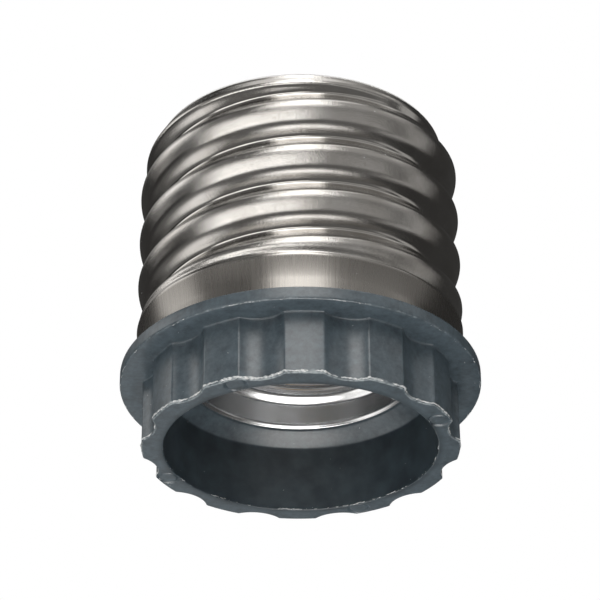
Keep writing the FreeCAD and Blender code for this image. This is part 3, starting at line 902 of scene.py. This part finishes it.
@dataclass
class EndContacts:
    """Rivet, end disc, tongue, strip and screws, in millimetres."""

    floor: float = 36.0
    nose_top: float = 46.55
    contact_radius: float = 7.6
    contact_flat: float = 5.2
    contact_rim: float = 1.0
    contact_dome: float = 2.4
    rivet_radius: float = 1.5
    rivet_head: float = 2.5
    rivet_flat: float = 1.75
    rivet_head_height: float = 0.8
    tongue_width: float = 5.0
    tongue_sheet: float = 0.5
    tongue_foot: float = 6.4
    tongue_bend: float = 0.9
    tongue_reach: float = 6.2
    tongue_drop: float = 2.6
    tongue_tip: float = 1.0
    tongue_edge: float = 0.09
    screw_place: float = 9.6
    screw_head: float = 2.1
    screw_flat: float = 1.6
    screw_head_height: float = 1.2
    screw_radius: float = 1.2
    screw_length: float = 4.6
    screw_slot: float = 0.5
    screw_slot_depth: float = 0.6
    slot_cutter: float = 6.0
    small_sheet: float = 0.3

    def rivet(self) -> bpy.types.Object:
        """Makes the centre rivet, rides it on the holder and returns it."""
        under = self.floor - self.tongue_sheet
        low = under - self.rivet_head_height
        top = self.nose_top + self.contact_dome
        recess = top - self.rivet_head_height
        mesh = turned_mesh(
            "rivet",
            [
                (0.0, low, 0.0, 0),
                (self.rivet_flat, low, 0.3, 0),
                (self.rivet_head, low + self.rivet_head_height / 2, 0.25, 0),
                (self.rivet_head, under, 0.05, 0),
                (self.rivet_radius, under, 0.0, 0),
                (self.rivet_radius, recess, 0.0, 0),
                (self.rivet_head, recess, 0.05, 0),
                (self.rivet_head, recess + self.rivet_head_height / 2, 0.25, 0),
                (self.rivet_flat, top, 0.3, 0),
                (0.0, top, 0.0, 0),
            ],
            64,
        )
        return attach(add_piece(mesh, Finish.BRASS, ["centre_rivet"]), HOLDER)

    def disc(self) -> bpy.types.Object:
        """Makes the domed end contact, rides it on the holder and returns it."""
        top = self.nose_top + self.contact_dome
        recess = top - self.rivet_head_height
        well = self.rivet_head + 0.1
        hole = self.rivet_radius + 0.05
        mesh = turned_mesh(
            "end_disc",
            [
                (hole, self.nose_top, 0.0, 0),
                (self.contact_radius, self.nose_top, 0.15, 0),
                (self.contact_radius, self.nose_top + self.contact_rim, 0.4, 1),
                (self.contact_flat, top, 1.0, 1),
                (well, top, 0.2, 0),
                (well, recess, 0.0, 0),
                (hole, recess, 0.0, 0),
            ],
            120,
        )
        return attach(add_piece(mesh, Finish.CONTACT_NICKEL, ["end_contact"]), HOLDER)

    def tongue_line(self) -> list[Vector]:
        """Gives the middle line of the bent tongue from its foot to its raised tip."""
        half = self.tongue_foot / 2
        sheet = self.tongue_sheet
        foot = self.floor - sheet / 2
        leaf = foot - self.tongue_bend - sheet
        fold = (foot - leaf) / 2
        line = [Vector((half - (half * 2) * step / 8, foot)) for step in range(9)]
        line += [
            Vector((-half - sheet / 2 * math.sin(bend), foot - fold + fold * math.cos(bend)))
            for bend in (TAU / 2 * step / 10 for step in range(1, 10))
        ]
        end = self.tongue_reach - half
        for step in range(17):
            share = step / 16
            drop = self.tongue_drop * (1 - (1 - share) ** 1.15)
            line.append(Vector((-half + (end + half) * share, leaf - drop)))
        line += [
            line[-1] + Vector((self.tongue_tip * share, 0.55 * sheet * share * share * 2))
            for share in (0.35, 0.7, 1.0)
        ]
        return line

    def tongue(self) -> bpy.types.Object:
        """Makes the contact tongue in its bent shape, and returns it."""
        line = self.tongue_line()
        work = bmesh.new()
        half_width, half_sheet = self.tongue_width / 2, self.tongue_sheet / 2
        last = len(line) - 1
        narrowing = {last: 0.7, last - 1: 0.2}
        rings = []
        for index, spot in enumerate(line):
            before, after = line[max(index - 1, 0)], line[min(index + 1, last)]
            along = (after - before).normalized()
            normal = Vector((-along.y, along.x)) * half_sheet
            half = half_width - narrowing.get(index, 0.0)
            over, below = spot + normal, spot - normal
            corners = [(over, -half), (over, half), (below, half), (below, -half)]
            rings.append([work.verts.new((p.x * MM, w * MM, p.y * MM)) for p, w in corners])
        for first, second in zip(rings, rings[1:]):
            for step in range(4):
                following = (step + 1) % 4
                work.faces.new((first[step], first[following], second[following], second[step]))
        work.faces.new(rings[0])
        work.faces.new(rings[-1])
        bmesh.ops.recalc_face_normals(work, faces=work.faces)
        sharp = [e for e in work.edges if len(e.link_faces) == 2 and e.calc_face_angle() > 1.0]
        bmesh.ops.bevel(
            work,
            geom=sharp,
            offset=self.tongue_edge * MM,
            segments=2,
            profile=0.5,
            affect="EDGES",
            clamp_overlap=True,
        )
        mesh = bpy.data.meshes.new("contact_leaf")
        work.to_mesh(mesh)
        work.free()
        piece = add_piece(mesh, Finish.BRASS, ["centre_contact_tongue"])
        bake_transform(piece)
        return piece

    def screws(self) -> bpy.types.Object:
        """Makes both slotted screws by one rule, rides them on the holder and returns them."""
        under = self.floor - self.small_sheet
        low = under - self.screw_head_height
        top = under + self.screw_length
        blank = turned_mesh(
            "screw_blank",
            [
                (0.0, low, 0.0, 0),
                (self.screw_flat, low, 0.3, 0),
                (self.screw_head, low + self.screw_head_height / 2, 0.25, 0),
                (self.screw_head, under, 0.05, 0),
                (self.screw_radius, under, 0.0, 0),
                (self.screw_radius, top - self.screw_radius, 0.1, 0),
                (0.0, top, 0.0, 0),
            ],
            48,
        )
        made = GeometryTree(
            "Slotted screws", dict.fromkeys(("Cutter", "Slot", "Depth", "Low", "Aside"), "Float")
        )
        tree, named = made.tree, made.named
        calc = partial(add_node, tree, "ShaderNodeMath")
        deep = calc({0: named("Depth"), 1: 2.0}, operation="MULTIPLY")
        size = add_node(tree, "ShaderNodeCombineXYZ", {0: named("Cutter"), 1: named("Slot"), 2: deep})
        bar = add_node(tree, "GeometryNodeMeshCube", {"Size": size})
        place = add_node(tree, "ShaderNodeCombineXYZ", {2: named("Low")})
        moved = add_node(tree, "GeometryNodeTransform", {"Geometry": bar, "Translation": place})
        cut = add_node(
            tree,
            "GeometryNodeMeshBoolean",
            {"Mesh 1": named("Source"), "Mesh 2": moved},
            operation="DIFFERENCE",
            solver="EXACT",
        )
        left = calc({0: named("Aside"), 1: -1.0}, operation="MULTIPLY")
        start = add_node(tree, "ShaderNodeCombineXYZ", {0: left})
        end = add_node(tree, "ShaderNodeCombineXYZ", {0: named("Aside")})
        line = add_node(
            tree,
            "GeometryNodeMeshLine",
            {"Count": 2, "Start Location": start, "Offset": end},
            mode="END_POINTS",
        )
        both = add_node(tree, "GeometryNodeInstanceOnPoints", {"Points": line, "Instance": cut})
        made.close(both)
        mesh = made.bake(
            "shell_screws",
            blank,
            {
                "Cutter": self.slot_cutter * MM,
                "Slot": self.screw_slot * MM,
                "Depth": self.screw_slot_depth * MM,
                "Low": low * MM,
                "Aside": self.screw_place * MM,
                "Finish": Finish.ZINC.material(),
            },
        )
        piece = add_piece(mesh, Finish.ZINC, ["shell_screw_right", "shell_screw_left"])
        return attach(piece, HOLDER)

    def strip(self) -> None:
        """Gives the link strip of the model its brass finish."""
        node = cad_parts["link_strip"]
        node.data.materials.clear()
        node.data.materials.append(Finish.BRASS.material())


@dataclass
class TornFlash:
    """The ragged flash along an edge of the moulding.

    Each sway is the length over which the line wanders and how far it does, in millimetres.
    """

    PATCH_MM: ClassVar[float] = 0.8
    THINNEST: ClassVar[float] = 0.2

    name: str
    width_mm: float
    seed: float
    sways: tuple[tuple[float, float], ...] = ((1.6, 0.11), (0.3, 0.07))
    count: int = 2400

    @staticmethod
    def tree() -> GeometryTree:
        """Builds the rule: a thin line of torn plastic whose width comes and goes along its path."""
        made = GeometryTree("Torn flash", {"Width": "Float", "Seed": "Float"})
        tree, named = made.tree, made.named
        curve = add_node(tree, "GeometryNodeMeshToCurve", {0: named("Source")})
        spot = add_node(tree, "GeometryNodeInputPosition")
        patches = add_node(
            tree,
            "ShaderNodeTexNoise",
            {"Vector": spot, "W": named("Seed"), "Scale": 1 / (TornFlash.PATCH_MM * MM), "Detail": 6.0},
            noise_dimensions="4D",
        )
        ragged = add_node(
            tree,
            "ShaderNodeMapRange",
            {"Value": patches, "From Min": 0.36, "From Max": 0.66, "To Min": TornFlash.THINNEST},
        )
        amount = add_node(
            tree, "GeometryNodeInputNamedAttribute", {"Name": "amount"}, data_type="FLOAT"
        )
        share = add_node(tree, "ShaderNodeMath", {0: ragged, 1: amount}, operation="MULTIPLY")
        radius = add_node(tree, "ShaderNodeMath", {0: share, 1: named("Width")}, operation="MULTIPLY")
        wide = add_node(tree, "GeometryNodeSetCurveRadius", {"Curve": curve, "Radius": radius})
        ring = add_node(tree, "GeometryNodeCurvePrimitiveCircle", {"Resolution": 5, "Radius": 1.0})
        tube = add_node(
            tree, "GeometryNodeCurveToMesh", {"Curve": wide, "Profile Curve": ring, "Scale": radius}
        )
        made.close(tube)
        return made

    def build(
        self,
        rule: GeometryTree,
        path: Callable[[float], Vector],
        amount: Callable[[float], float],
    ) -> bpy.types.Object:
        """Makes the flash along a closed path and returns it.

        Args:
            rule: The tree that makes the torn line.
            path: Gives the edge's point at an azimuth.
            amount: Gives how much flash is left at an azimuth, from 0 to 1.

        Returns:
            The finished flash, riding on the holder.
        """
        # Until a seed is set, noise_vector takes its offsets from the clock.
        noise.seed_set(int(self.seed))
        azimuths = [360 * step / self.count for step in range(self.count)]
        shift = Vector((self.seed, 0, 0))
        points = []
        for azimuth in azimuths:
            spot = path(azimuth)
            sways = [noise.noise_vector(spot / (length * MM) + shift) * far for length, far in self.sways]
            points.append(spot + sum(sways, Vector((0, 0, 0))) * MM)
        edges = [(step, (step + 1) % self.count) for step in range(self.count)]
        line = bpy.data.meshes.new(self.name + "_path")
        line.from_pydata(points, edges, [])
        field = line.attributes.new("amount", "FLOAT", "POINT")
        field.data.foreach_set("value", [amount(azimuth) for azimuth in azimuths])
        mesh = rule.bake(
            self.name,
            line,
            {"Width": self.width_mm * MM, "Seed": self.seed, "Finish": Finish.FLASH.material()},
        )
        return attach(add_piece(mesh, Finish.FLASH, []), HOLDER)


@dataclass
class Dust:
    """Small pale grains that lie on a piece, as many on a square metre as the density says."""

    SMALLEST: ClassVar[float] = 0.35

    name: str
    density: float
    seed: int
    size_mm: float = 0.055

    @staticmethod
    def tree() -> GeometryTree:
        """Builds the rule: low lumps strewn over the faces of the source."""
        made = GeometryTree("Dust", {"Density": "Float", "Seed": "Int", "Size": "Float"})
        tree, named = made.tree, made.named
        strewn = add_node(
            tree,
            "GeometryNodeDistributePointsOnFaces",
            {"Mesh": named("Source"), "Density": named("Density"), "Seed": named("Seed")},
        )
        grain = add_node(tree, "GeometryNodeMeshIcoSphere", {"Radius": 1.0, "Subdivisions": 1})
        small = add_node(tree, "ShaderNodeMath", {0: named("Size"), 1: Dust.SMALLEST}, operation="MULTIPLY")
        size = add_node(
            tree,
            "FunctionNodeRandomValue",
            {2: small, 3: named("Size"), "Seed": named("Seed")},
            data_type="FLOAT",
        )
        laid = add_node(
            tree,
            "GeometryNodeInstanceOnPoints",
            {
                "Points": strewn.outputs["Points"],
                "Instance": grain,
                "Rotation": strewn.outputs["Rotation"],
                "Scale": size.outputs[1],
            },
        )
        made.close(laid)
        return made

    def build(self, rule: GeometryTree, source: bpy.types.Object, slot: str) -> bpy.types.Object:
        """Strews the dust over a piece and returns it.

        Args:
            rule: The tree that strews the grains.
            source: Piece that the dust lies on.
            slot: Not used.

        Returns:
            The dust, riding on the holder.
        """
        mesh = rule.bake(
            self.name,
            source.data.copy(),
            {
                "Density": self.density,
                "Seed": self.seed,
                "Size": self.size_mm * MM,
                "Finish": Finish.DUST.material(),
            },
        )
        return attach(add_piece(mesh, Finish.DUST, []), HOLDER)


@dataclass(frozen=True)
class Panel:
    """A soft light in the studio, seen from the object, in degrees from the front and from the horizon."""

    name: str
    azimuth: float
    elevation: float
    half_width: float
    half_height: float
    level: float
    soft: float = 8.0


@dataclass(frozen=True)
class Studio:
    """Soft panels round the object, a pale floor below it and a white room."""

    panels: tuple[Panel, ...] = (
        Panel("front softbox", 0, 48, 19, 36, 2.9, 4),
        Panel("right edge card", 91, -8, 8, 19, 0.45, 2),
        Panel("right low card", 80, -33, 8, 9, 0.4, 4),
        Panel("right high card", 80, 37, 7, 6, 0.6, 4),
        Panel("left high card", -58, 28, 10, 8, 0.14, 4),
        Panel("front left strip", -27, -13, 35, 8, 2.3, 4),
        Panel("front right strip", 38, -12, 32, 8, 0.34, 5),
        Panel("left softbox", -93, 22, 18, 13, 1.4, 5),
        Panel("back left glow", -122, 41, 22, 10, 0.5, 7),
        Panel("left strip", -56, 4, 18, 6, 0.3, 6),
        Panel("right wall", 54, 46, 37, 38, 0.3, 8),
        Panel("left floor light", -97, -52, 24, 12, 1.3, 8),
        Panel("left low wall", -95, -30, 26, 14, 0.12, 8),
        Panel("front floor light", 22, -68, 46, 9, 2.0, 5),
        Panel("back low wall", -170, -36, 26, 24, 0.4, 10),
        Panel("front room", 0, 0, 75, 88, 0.11, 12),
    )
    base: float = 0.05
    overhead: float = 1.0
    overhead_from: float = 0.9
    overhead_full: float = 0.98
    underfoot: float = 4.2
    underfoot_from: float = -0.92
    underfoot_full: float = -0.97
    floor_height: float = -0.32
    room_radius: float = 3.0
    floor_radius: float = 2.7

    def world(self) -> None:
        """Lights the scene by direction: each panel is a soft-edged patch on the studio's walls."""
        world = bpy.data.worlds.new("studio")
        bpy.context.scene.world = world
        world.use_nodes = True
        tree = world.node_tree
        tree.nodes.clear()
        way = add_node(tree, "ShaderNodeTexCoord").outputs["Generated"]
        axes = add_node(tree, "ShaderNodeSeparateXYZ", {0: way})
        calc = partial(add_node, tree, "ShaderNodeMath")
        tilt = calc({0: axes.outputs[2]}, operation="ARCSINE")
        front = calc({0: axes.outputs[1], 1: -1.0}, operation="MULTIPLY")
        around = calc({0: axes.outputs[0], 1: front}, operation="ARCTAN2")
        blend = partial(add_node, tree, "ShaderNodeMapRange", interpolation_type="SMOOTHSTEP")
        high, low = (
            blend({"Value": axes.outputs[2], "From Min": start, "From Max": full, "To Max": level})
            for start, full, level in (
                (self.overhead_from, self.overhead_full, self.overhead),
                (self.underfoot_from, self.underfoot_full, self.underfoot),
            )
        )
        total = calc({0: high, 1: low}, operation="ADD")
        total = calc({0: total, 1: self.base}, operation="ADD")
        for panel in self.panels:
            sides = []
            for angle, middle, half in (
                (around, panel.azimuth, panel.half_width),
                (tilt, panel.elevation, panel.half_height),
            ):
                aside = calc({0: angle, 1: math.radians(middle)}, operation="SUBTRACT")
                away = calc({0: aside}, operation="ABSOLUTE")
                sides.append(
                    blend({
                        "Value": away,
                        "From Min": math.radians(half + panel.soft),
                        "From Max": math.radians(max(half - panel.soft, 0)),
                    })
                )
            patch = calc({0: sides[0], 1: sides[1]}, operation="MULTIPLY", label=panel.name)
            total = calc({0: patch, 1: panel.level, 2: total}, operation="MULTIPLY_ADD")
        sky = add_node(tree, "ShaderNodeBackground", {"Color": linear("#FFFDFA"), "Strength": total})
        add_node(tree, "ShaderNodeOutputWorld", {"Surface": sky})

    def room(self) -> None:
        """Adds the pale floor and the white room round the object, which don't shade it."""
        for name, tone in (("floor", "#F4F4F4"), ("room", "#FFFFFF")):
            paint, tree = new_material(name + "_paint")
            glow = add_node(tree, "ShaderNodeEmission", {"Color": linear(tone), "Strength": 1.0})
            add_node(tree, "ShaderNodeOutputMaterial", {"Surface": glow})
            work = bmesh.new()
            if name == "floor":
                bmesh.ops.create_circle(work, cap_ends=True, segments=96, radius=self.floor_radius)
                bmesh.ops.translate(work, verts=work.verts, vec=(0, 0, self.floor_height))
            else:
                bmesh.ops.create_icosphere(work, subdivisions=4, radius=self.room_radius)
                bmesh.ops.reverse_faces(work, faces=work.faces)
            mesh = bpy.data.meshes.new(name)
            work.to_mesh(mesh)
            work.free()
            mesh.materials.append(paint)
            wall = bpy.data.objects.new(name, mesh)
            bpy.context.scene.collection.objects.link(wall)
            wall.visible_diffuse = False
            wall.visible_glossy = False
            wall.visible_transmission = False
            wall.visible_shadow = False


@dataclass(frozen=True)
class Portrait:
    """The camera of the photograph: below the mouth and looking up, in metres, radians and a lens in mm."""

    place: tuple[float, float, float] = (0.0, -0.23739, -0.1217)
    lens: float = 136.85
    pitch: float = 0.5395
    yaw: float = 0.0001
    roll: float = -0.0074

    def build(self) -> None:
        """Makes the camera and sets it as the scene's."""
        look = Vector((
            math.sin(self.yaw) * math.cos(self.pitch),
            math.cos(self.yaw) * math.cos(self.pitch),
            math.sin(self.pitch),
        ))
        right = Vector((math.cos(self.yaw), -math.sin(self.yaw), 0))
        up = right.cross(look)
        turned = right * math.cos(self.roll) + up * math.sin(self.roll)
        upright = up * math.cos(self.roll) - right * math.sin(self.roll)
        data = bpy.data.cameras.new("portrait")
        data.sensor_width = 36
        data.lens = self.lens
        data.clip_start = 0.01
        camera = bpy.data.objects.new("portrait", data)
        bpy.context.scene.collection.objects.link(camera)
        facing = Matrix((turned, upright, -look)).transposed().to_4x4()
        camera.matrix_world = Matrix.Translation(self.place) @ facing
        bpy.context.scene.camera = camera


def main() -> None:
    """Builds the adapter piece by piece, then the studio and the camera."""
    logging.basicConfig(level=logging.INFO, format="%(name)s %(message)s")
    moulding = MouldedBody()
    body = moulding.build()
    rolling = RolledShell.tree()
    big = RolledShell(
        "big_shell", "e40_screw_shell", Finish.OUTER_NICKEL,
        low=moulding.flange_top, wall_top=moulding.shoulder, pitch=6.35, crest=19.6,
        wave=Wave((0.9804, -0.1758, 0.058, -0.0209), (0.0, 0.08, 0.0479, -0.0182)),
        sheet=0.35, skirt=19.02, end=17.9, plain=5.48, run_in=0.5, fade=2.3, opening=14.2,
        phase=24.2109, flare=0.56, lip=0.0, groove=0.15, columns=288, rows_per_pitch=31, inward=-1.0,
    ).build(rolling)
    RolledShell(
        "small_shell", "e27_inner_shell", Finish.INNER_NICKEL,
        low=10.1, wall_top=35.7, pitch=3.62, crest=13.5,
        wave=Wave((0.586, 0.0, -0.053, 0.0), (0.0, 0.0, 0.0, 0.0)),
        sheet=0.3, skirt=13.56, end=12.6, plain=2.6, run_in=1.3, fade=1.8, opening=5.8,
        phase=11.7, flare=0.0, lip=0.42, groove=0.0, columns=240, rows_per_pitch=28, inward=0.0,
    ).build(rolling)
    contacts = EndContacts()
    contacts.rivet()
    contacts.disc()
    contacts.tongue()
    contacts.screws()
    contacts.strip()
    tearing = TornFlash.tree()
    TornFlash("lip_flash", 0.21, 3.0).build(
        tearing,
        path=lambda a: at(a, moulding.grip(a) - 0.04, 0.28),
        amount=lambda a: 0.35 + 0.65 * nearness(a),
    )
    TornFlash("mouth_flash", 0.1, 11.0).build(
        tearing,
        path=lambda a: at(a, moulding.mouth_radius + 0.05, 0.14),
        amount=lambda a: 0.25 + 0.6 * nearness(a - 140),
    )
    TornFlash("flange_flash", 0.09, 23.0).build(
        tearing,
        path=lambda a: at(a, moulding.flange_radius - 0.15, moulding.grip_height + 0.08),
        amount=lambda a: 0.6,
    )
    strewing = Dust.tree()
    Dust("moulding_dust", 30000.0, 5).build(strewing, body, "moulding")
    Dust("shell_dust", 14000.0, 8).build(strewing, big, "nickel")
    studio = Studio()
    studio.world()
    studio.room()
    Portrait().build()
    bpy.context.scene.view_settings.view_transform = "Standard"


if __name__ == "__main__":
    main()
